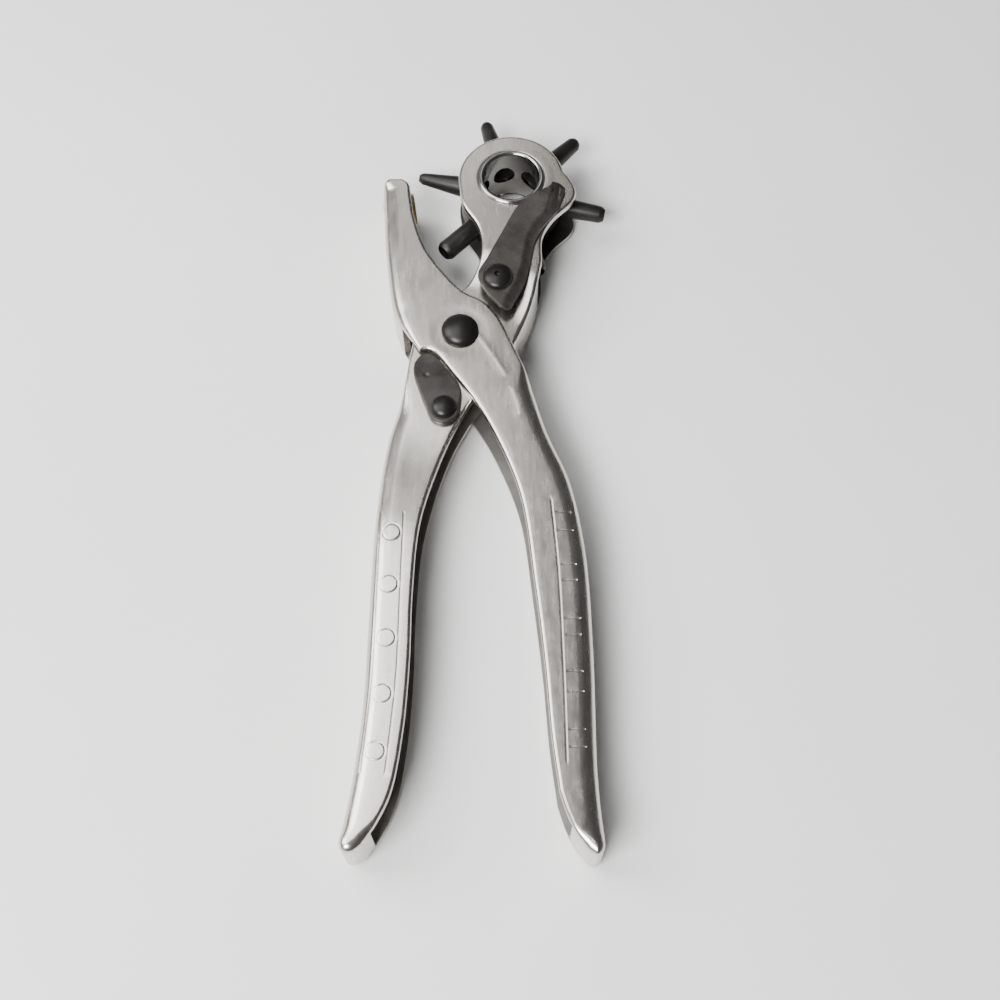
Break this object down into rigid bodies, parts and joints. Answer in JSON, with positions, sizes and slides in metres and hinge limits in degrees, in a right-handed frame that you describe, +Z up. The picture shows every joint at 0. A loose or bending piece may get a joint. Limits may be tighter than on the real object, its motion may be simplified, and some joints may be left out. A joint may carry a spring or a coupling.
{
  "type": "rotary hole punch",
  "caption": "Hand pliers with a turning wheel of hollow punch tubes that close on a brass anvil to cut round holes in leather; handle lock and index spring.",
  "frame": {"origin": "on the lever pivot's axis, at the flat rear end of the pivot rivet, where the tool lies on a bench", "axes": "+Y from the handle ends towards the punch wheel, +Z up along the pivot's axis with the index spring and handle lock on top"},
  "size_m": [0.0723, 0.2316, 0.0246],
  "materials": {
    "plated_steel": "satin",
    "black_steel": "satin",
    "chrome": "polished",
    "brass": "satin",
    "spring_steel": "satin"
  },
  "bodies": {
    "punch_lever_body": {"punch_lever": "plated_steel", "pivot_rivet": "black_steel", "pivot_spacer": "spring_steel", "return_spring": "spring_steel", "lock_rivet": "black_steel", "index_rivet": "black_steel"},
    "anvil_lever_body": {"anvil_lever": "plated_steel", "anvil": "brass"},
    "wheel": {"punch_wheel": "black_steel", "hub_sleeve": "chrome", "punch_tube_2_0mm": "black_steel", "punch_tube_2_5mm": "black_steel", "punch_tube_3_0mm": "black_steel", "punch_tube_3_5mm": "black_steel", "punch_tube_4_0mm": "black_steel", "punch_tube_4_5mm": "black_steel"},
    "handle_lock": {"lock_latch": "black_steel"},
    "index": {"index_spring": "black_steel", "index_nose": "black_steel"}
  },
  "joints": [
    {"name": "handle_pivot", "type": "hinge", "parent": "punch_lever_body", "child": "anvil_lever_body", "pos_m": [0, 0, 0.0105], "axis": [0, 0, 1], "range_deg": [0, 15]},
    {"name": "wheel_spin", "type": "hinge", "parent": "punch_lever_body", "child": "wheel", "pos_m": [0.0154, 0.0548, 0.0105], "axis": [0, 0, 1], "continuous": true},
    {"name": "lock_swing", "type": "hinge", "parent": "punch_lever_body", "child": "handle_lock", "pos_m": [-0.0045, -0.0248, 0.0185], "axis": [0, 0, 1], "range_deg": [0, 25]},
    {"name": "index_spring_flex", "type": "hinge", "parent": "punch_lever_body", "child": "index", "pos_m": [0.011, 0.0166, 0.0211], "axis": [0.8805, -0.4741, 0], "range_deg": [0, 1.5], "stiffness_Nm_per_rad": 2}
  ]
}
